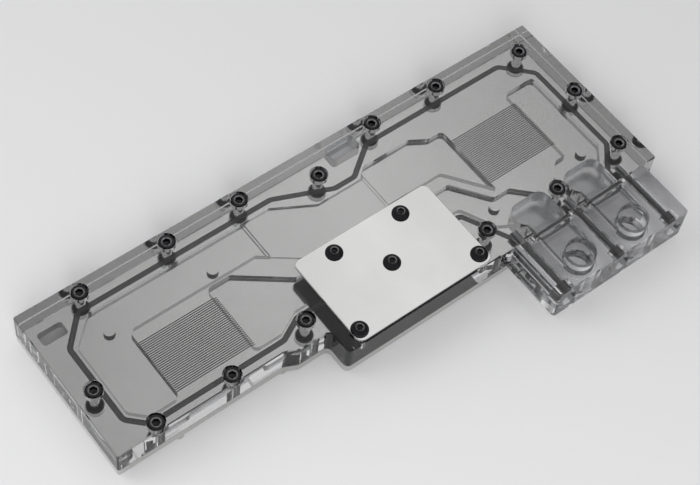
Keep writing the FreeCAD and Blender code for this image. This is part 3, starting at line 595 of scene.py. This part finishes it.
seal = {
    "width": 2.34, "height": 1.93, "edge": 0.7,
    "bend": 3.4, "tightBend": 2.0,
    "corners": [  # across and down, with 1 where the bend is tight
        (12.4, 21.0, 0), (24.2, 8.6, 0), (119.5, 8.6, 0), (145.5, 19.4, 0), (156.0, 19.4, 0),
        (171.0, 8.6, 0), (246.0, 8.6, 0), (258.4, 21.0, 0), (258.4, 68.6, 0), (248.9, 79.6, 1),
        (248.9, 86.0, 1), (193.5, 86.0, 1), (180.6, 60.9, 1), (94.5, 60.9, 0), (84.0, 66.3, 0),
        (20.0, 66.3, 0), (12.4, 58.7, 0)],
}
ductSeal = {"width": 1.86, "depth": 1.33, "edge": 0.5, "corner": 3.45}


def sealTree():
    tree, start, end = newTree("sealRun", [
        ("Width", "NodeSocketFloat"), ("Height", "NodeSocketFloat"),
        ("Edge", "NodeSocketFloat"), ("Finish", "NodeSocketMaterial")])
    bend = addNode(tree, "GeometryNodeInputNamedAttribute", {"Name": "bend"}, data_type="FLOAT")
    line = addNode(tree, "GeometryNodeMeshToCurve", None, {"Mesh": start.outputs["Geometry"]})
    bent = addNode(tree, "GeometryNodeFilletCurve", {"Count": 9},
                   {"Curve": line.outputs["Curve"], "Radius": bend.outputs["Attribute"]},
                   mode="POLY")
    upright = addNode(tree, "GeometryNodeSetCurveNormal", None,
                      {"Curve": bent.outputs["Curve"]}, mode="Z_UP")
    section = addNode(tree, "GeometryNodeCurvePrimitiveQuadrilateral", None,
                      {"Width": start.outputs["Width"], "Height": start.outputs["Height"]})
    eased = addNode(tree, "GeometryNodeFilletCurve", {"Count": 5},
                    {"Curve": section.outputs["Curve"], "Radius": start.outputs["Edge"]},
                    mode="POLY")
    solid = addNode(tree, "GeometryNodeCurveToMesh", None,
                    {"Curve": upright.outputs["Curve"], "Profile Curve": eased.outputs["Curve"]})
    smooth = addNode(tree, "GeometryNodeSetShadeSmooth", None, {"Geometry": solid.outputs["Mesh"]})
    real = addNode(tree, "GeometryNodeRealizeInstances", None, {"Geometry": smooth.outputs[0]})
    finish = addNode(tree, "GeometryNodeSetMaterial", None,
                     {"Geometry": real.outputs[0], "Material": start.outputs["Finish"]})
    tree.links.new(finish.outputs[0], end.inputs[0])
    return tree


def loopMesh(name, corners, bends):
    mesh = bpy.data.meshes.new(name)
    count = len(corners)
    edges = [(i, (i + 1) % count) for i in range(count)]
    mesh.from_pydata([tuple(c) for c in corners], edges, [])
    layer = mesh.attributes.new("bend", "FLOAT", "POINT")
    for index, bend in enumerate(bends):
        layer.data[index].value = bend
    return mesh


def outwardMesh(mesh):
    work = bmesh.new()
    work.from_mesh(mesh)
    bmesh.ops.remove_doubles(work, verts=work.verts, dist=1e-7)
    bmesh.ops.recalc_face_normals(work, faces=work.faces)
    work.to_mesh(mesh)
    work.free()


def laySeals():
    tree = sealTree()
    low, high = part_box("perimeter_seal")
    level = ((low.z + high.z) / 2 - plateFace) / mm
    corners = [fromBlock(a, d, level) for a, d, _ in seal["corners"]]
    bends = [(seal["tightBend"] if t else seal["bend"]) * mm for _, _, t in seal["corners"]]
    mesh = bakeTree("perimeterSeal", loopMesh("sealLine", corners, bends), tree, {
        "Width": seal["width"] * mm, "Height": seal["height"] * mm,
        "Edge": seal["edge"] * mm, "Finish": nitrileRubber})
    outwardMesh(mesh)
    piece = newPiece("perimeterSeal", mesh)
    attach(piece, "root")
    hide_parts("perimeter_seal")
    for number in (1, 2):
        low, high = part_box(f"duct_seal_{number}")
        middle = (low + high) / 2
        halfWide = (high.x - low.x) / 2 - ductSeal["width"] * mm / 2
        halfTall = (high.z - low.z) / 2 - ductSeal["width"] * mm / 2
        ring = [Vector((-halfWide, -halfTall, 0)), Vector((halfWide, -halfTall, 0)),
                Vector((halfWide, halfTall, 0)), Vector((-halfWide, halfTall, 0))]
        line = loopMesh("ductSealLine", ring, [ductSeal["corner"] * mm] * 4)
        mesh = bakeTree(f"ductSeal{number}", line, tree, {
            "Width": ductSeal["width"] * mm, "Height": ductSeal["depth"] * mm,
            "Edge": ductSeal["edge"] * mm, "Finish": nitrileRubber})
        mesh.transform(Matrix.Translation(middle) @ Matrix.Rotation(math.pi / 2, 4, "X"))
        outwardMesh(mesh)
        piece = newPiece(f"ductSeal{number}", mesh)
        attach(piece, "root")
        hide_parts(f"duct_seal_{number}")


laySeals()
print("seals laid")


# screws: one of each kind is turned, then set on its places by a geometry tree

screwSides = 72
smoothHead = 28  # degrees, so that the knurls and the socket stay crisp
thread = {
    "shank": 3.98,
    "pitch": 0.7,
    "depth": 0.43,
    "tip": 0.5,  # length of the point's taper
    "taper": 0.9,
    "overlap": 0.02,  # into the head
    "columns": 24,
    "rows": 4,  # to a turn: crest, flank, root, flank
    # how strongly the shank takes the painted highlight
    "paintedShine": 0.8,
}
capScrew = {
    "head": 7.0, "height": 4.0, "socket": 3.0, "depth": 2.0, "bevel": 0.46, "knurl": 0.11,
    "profile": [(2.95, 4.0), (3.25, 3.9), (3.45, 3.62), (3.5, 3.4)],
}
buttonScrew = {
    "height": 2.2, "socket": 2.5, "depth": 1.3, "bevel": 0.3,
    "profile": [(1.9, 2.2), (2.35, 2.07), (2.8, 1.83), (3.2, 1.45), (3.5, 1.02), (3.72, 0.62),
                (3.8, 0.38), (3.8, 0.15), (3.68, 0.0)],
}
screwLength = {"top": 12.0, "cover": 6.0, "terminal": 30.0}


def addRing(work, radii, height):
    count = len(radii)
    return [work.verts.new((r * math.cos(2 * math.pi * i / count),
                            r * math.sin(2 * math.pi * i / count), height))
            for i, r in enumerate(radii)]


def joinRings(work, rings):
    for below, above in zip(rings, rings[1:]):
        count = len(below)
        for i in range(count):
            work.faces.new((below[i], below[(i + 1) % count],
                            above[(i + 1) % count], above[i]))


def hexRadii(flats, count):
    # a hexagon's radius at each of the ring's angles
    radii = []
    for i in range(count):
        angle = (2 * math.pi * i / count) % (math.pi / 3) - math.pi / 6
        radii.append(flats / 2 / math.cos(angle))
    return radii


def turnHead(work, settings):
    # rings from the middle of the socket's floor, over the top, down to the seat
    count = screwSides
    height, flats = settings["height"], settings["socket"]
    rings = [
        addRing(work, [0.02] * count, height - settings["depth"] - 0.35),
        addRing(work, [r * 0.98 for r in hexRadii(flats, count)], height - settings["depth"]),
        addRing(work, hexRadii(flats, count), height - settings["depth"] + 0.05),
        addRing(work, hexRadii(flats, count), height - 0.3),
        addRing(work, hexRadii(flats * 1.04, count), height - 0.26),
        addRing(work, [flats / math.sqrt(3) + settings["bevel"]] * count, height - 0.03),
        addRing(work, [flats / math.sqrt(3) + settings["bevel"] + 0.08] * count, height),
    ]
    paintedHighlight = work.verts.layers.float["paintedHighlight"]
    # the socket's chamfer is marked for a painted highlight
    for ring in rings[4:6]:
        for vert in ring:
            vert[paintedHighlight] = 1.0
    for radius, level in settings["profile"]:
        rings.append(addRing(work, [radius] * count, level))
    if "knurl" in settings:
        edge = settings["head"] / 2
        radii = [edge if i % 2 else edge - settings["knurl"] for i in range(count)]
        rings.append(addRing(work, radii, height - 0.75))
        rings.append(addRing(work, radii, 0.45))
        rings.append(addRing(work, [edge] * count, 0.3))
        rings.append(addRing(work, [edge - 0.15] * count, 0.0))
    rings.append(addRing(work, [thread["shank"] / 2 - 0.3] * count, 0.0))
    joinRings(work, rings)
    work.faces.new(rings[0])
    work.faces.new(rings[-1])


def turnThread(work, length):
    columns, rows, pitch = thread["columns"], thread["rows"], thread["pitch"]
    crest, root = thread["shank"] / 2, thread["shank"] / 2 - thread["depth"]
    radii = [crest, (crest + root) / 2, root, (crest + root) / 2]
    steps = int((length / pitch + 2) * rows)
    grid = []
    paintedHighlight = work.verts.layers.float["paintedHighlight"]
    for k in range(steps):
        row = []
        for j in range(columns):
            drop = (k / rows + j / columns - 1) * pitch
            radius = radii[k % rows]
            pastTip = max(0.0, drop - (length - thread["tip"]))
            radius = min(radius, crest - pastTip * thread["taper"])
            drop = min(max(drop, 0.0), length)
            angle = 2 * math.pi * j / columns
            row.append(work.verts.new((radius * math.cos(angle), -radius * math.sin(angle),
                                       thread["overlap"] - drop)))
            # the whole shank is marked for a lighter painted highlight
            row[-1][paintedHighlight] = thread["paintedShine"]
        grid.append(row)
    for k in range(steps - rows - 1):
        for j in range(columns):
            nextRow, nextColumn = (k + rows, 0) if j == columns - 1 else (k, j + 1)
            work.faces.new((grid[k][j], grid[k + 1][j], grid[nextRow + 1][nextColumn],
                            grid[nextRow][nextColumn]))


def makeScrew(name, settings, length, tilt=None):
    work = bmesh.new()
    work.verts.layers.float.new("paintedHighlight")
    turnHead(work, settings)
    turnThread(work, length)
    bmesh.ops.remove_doubles(work, verts=work.verts, dist=1e-4)
    bmesh.ops.holes_fill(work, edges=[e for e in work.edges if e.is_boundary], sides=0)
    bmesh.ops.recalc_face_normals(work, faces=work.faces)
    bmesh.ops.scale(work, vec=(mm, mm, mm), verts=work.verts)
    if tilt:
        bmesh.ops.transform(work, matrix=tilt, verts=work.verts)
    mesh = finishMesh(bpy.data.meshes.new(name), work, smoothHead)
    return newPiece(name, mesh)


def screwTree():
    tree, start, end = newTree("screwSetting", [
        ("Screw", "NodeSocketObject"), ("Spin", "NodeSocketVector"),
        ("Seed", "NodeSocketInt"), ("Finish", "NodeSocketMaterial")])
    screw = addNode(tree, "GeometryNodeObjectInfo", None, {"Object": start.outputs["Screw"]})
    # socket 1 is the random vector's upper limit
    spin = addNode(tree, "FunctionNodeRandomValue", None,
                   {1: start.outputs["Spin"], "Seed": start.outputs["Seed"]},
                   data_type="FLOAT_VECTOR")
    points = addNode(tree, "GeometryNodeMeshToPoints", None, {"Mesh": start.outputs["Geometry"]})
    placed = addNode(tree, "GeometryNodeInstanceOnPoints", None, {
        "Points": points.outputs["Points"], "Instance": screw.outputs["Geometry"],
        "Rotation": spin.outputs[0]})
    real = addNode(tree, "GeometryNodeRealizeInstances", None,
                   {"Geometry": placed.outputs["Instances"]})
    finish = addNode(tree, "GeometryNodeSetMaterial", None,
                     {"Geometry": real.outputs[0], "Material": start.outputs["Finish"]})
    tree.links.new(finish.outputs[0], end.inputs[0])
    return tree


def setScrews(name, master, places, spinAxis, seed, tree, standsFor):
    seats = bpy.data.meshes.new(name + "Seats")
    seats.from_pydata([tuple(p) for p in places], [], [])
    mesh = bakeTree(name, seats, tree, {"Screw": master, "Spin": spinAxis, "Seed": seed,
                                        "Finish": blackNickel})
    piece = newPiece(name, mesh)
    bpy.data.objects.remove(master)
    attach(piece, "root")
    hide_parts(*standsFor)


def seatUnder(name, length):
    # the place of an upright screw's head, from the tip of the CAD screw
    low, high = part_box(name)
    return Vector(((low.x + high.x) / 2, (low.y + high.y) / 2, low.z + length * mm))


def seatBefore(name, length):
    # and of one that lies along the block's depth
    low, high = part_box(name)
    return Vector(((low.x + high.x) / 2, high.y - length * mm, (low.z + high.z) / 2))


def placeScrews():
    tree = screwTree()
    sixth = math.pi / 3  # a socket looks the same again after this turn
    length = screwLength["top"]
    setScrews("topScrews", makeScrew("topScrew", capScrew, length),
              [seatUnder(n, length) for n in topScrewNames], (0, 0, sixth), 4, tree,
              topScrewNames)
    length = screwLength["cover"]
    setScrews("coverScrews", makeScrew("coverScrew", buttonScrew, length),
              [seatUnder(n, length) for n in coverScrewNames], (0, 0, sixth), 9, tree,
              coverScrewNames)
    length = screwLength["terminal"]
    tilt = Matrix.Rotation(math.pi / 2, 4, "X")
    setScrews("terminalScrews", makeScrew("terminalScrew", capScrew, length, tilt),
              [seatBefore(n, length) for n in terminalScrewNames], (0, sixth, 0), 2, tree,
              terminalScrewNames)


placeScrews()
print("screws set")


# floor, world and lamps

studio = {
    "floor": "#ededee",
    "floorSize": 6.0,
    "softSky": (0.386, 0.386, 0.838),  # the brightest part of the sky
    "glow": [(0.0, grey(0.66)), (1.0, grey(1.0)), (0.72, grey(0.58)), (0.95, grey(0.97))],
    "across": [(0.0, grey(0.66)), (1.0, grey(0.4)), (0.6, grey(0.56)), (0.7, grey(0.84)),
               (0.8, grey(0.46))],
    "lamps": [  # name, place, size and watts
        ("softboxFront", (-0.7, -0.9, 0.8), 0.7, 12.0),
        ("softboxBack", (-0.9, 0.9, 0.8), 1.0, 6.5),
    ],
}


def layFloor():
    size = studio["floorSize"]
    mesh = bpy.data.meshes.new("floor")
    mesh.from_pydata([(-size, -size, 0), (size, -size, 0), (size, size, 0), (-size, size, 0)],
                     [], [(0, 1, 2, 3)])
    material, tree = startMaterial("paleFloor")
    place = addNode(tree, "ShaderNodeTexCoord").outputs["Object"]
    grain = addNode(tree, "ShaderNodeTexNoise", {"Scale": 300.0}, {"Vector": place})
    gloss = setRamp(addNode(tree, "ShaderNodeValToRGB", None, {"Fac": grain.outputs["Fac"]}),
                    [(0.3, grey(0.5)), (0.7, grey(0.6))])
    surface = addNode(tree, "ShaderNodeBsdfPrincipled",
                      {"Base Color": toLinear(studio["floor"])},
                      {"Roughness": gloss.outputs["Color"]})
    addNode(tree, "ShaderNodeOutputMaterial", None, {"Surface": surface.outputs[0]})
    mesh.materials.append(material)
    floor = newPiece("floor", mesh)


def lightStudio():
    world = bpy.data.worlds.new("studio")
    bpy.context.scene.world = world
    world.use_nodes = True
    tree = world.node_tree
    tree.nodes.clear()
    direction = addNode(tree, "ShaderNodeTexCoord").outputs["Generated"]
    parts = addNode(tree, "ShaderNodeSeparateXYZ", None, {"Vector": direction})
    across = addNode(tree, "ShaderNodeMapRange", {"From Min": -1.0, "From Max": 1.0},
                     {"Value": parts.outputs["X"]})
    ramp = setRamp(addNode(tree, "ShaderNodeValToRGB", None, {"Fac": across.outputs["Result"]}),
                   studio["across"])
    nearness = addNode(tree, "ShaderNodeVectorMath", {1: studio["softSky"]}, {0: direction},
                       operation="DOT_PRODUCT")
    glow = setRamp(addNode(tree, "ShaderNodeValToRGB", None, {"Fac": nearness.outputs["Value"]}),
                   studio["glow"])
    shade = addNode(tree, "ShaderNodeBackground", None,
                    {"Color": ramp.outputs["Color"], "Strength": glow.outputs["Color"]})
    addNode(tree, "ShaderNodeOutputWorld", None, {"Surface": shade.outputs[0]})
    for name, place, size, power in studio["lamps"]:
        lamp = bpy.data.lights.new(name, "AREA")
        lamp.shape = "SQUARE"
        lamp.size = size
        lamp.energy = power
        stand = bpy.data.objects.new(name, lamp)
        stand.location = place
        stand.rotation_euler = (-Vector(place)).to_track_quat("-Z", "Y").to_euler()
        # polished metal would show a lamp as a hard white patch, so it mirrors the sky alone
        stand.visible_glossy = False
        stand.visible_transmission = False
        bpy.context.scene.collection.objects.link(stand)


layFloor()
lightStudio()
scene = bpy.context.scene
scene.view_settings.view_transform = "Standard"
scene.cycles.max_bounces = 20
scene.cycles.transmission_bounces = 20
scene.cycles.glossy_bounces = 8
scene.cycles.transparent_max_bounces = 24
print("studio lit")
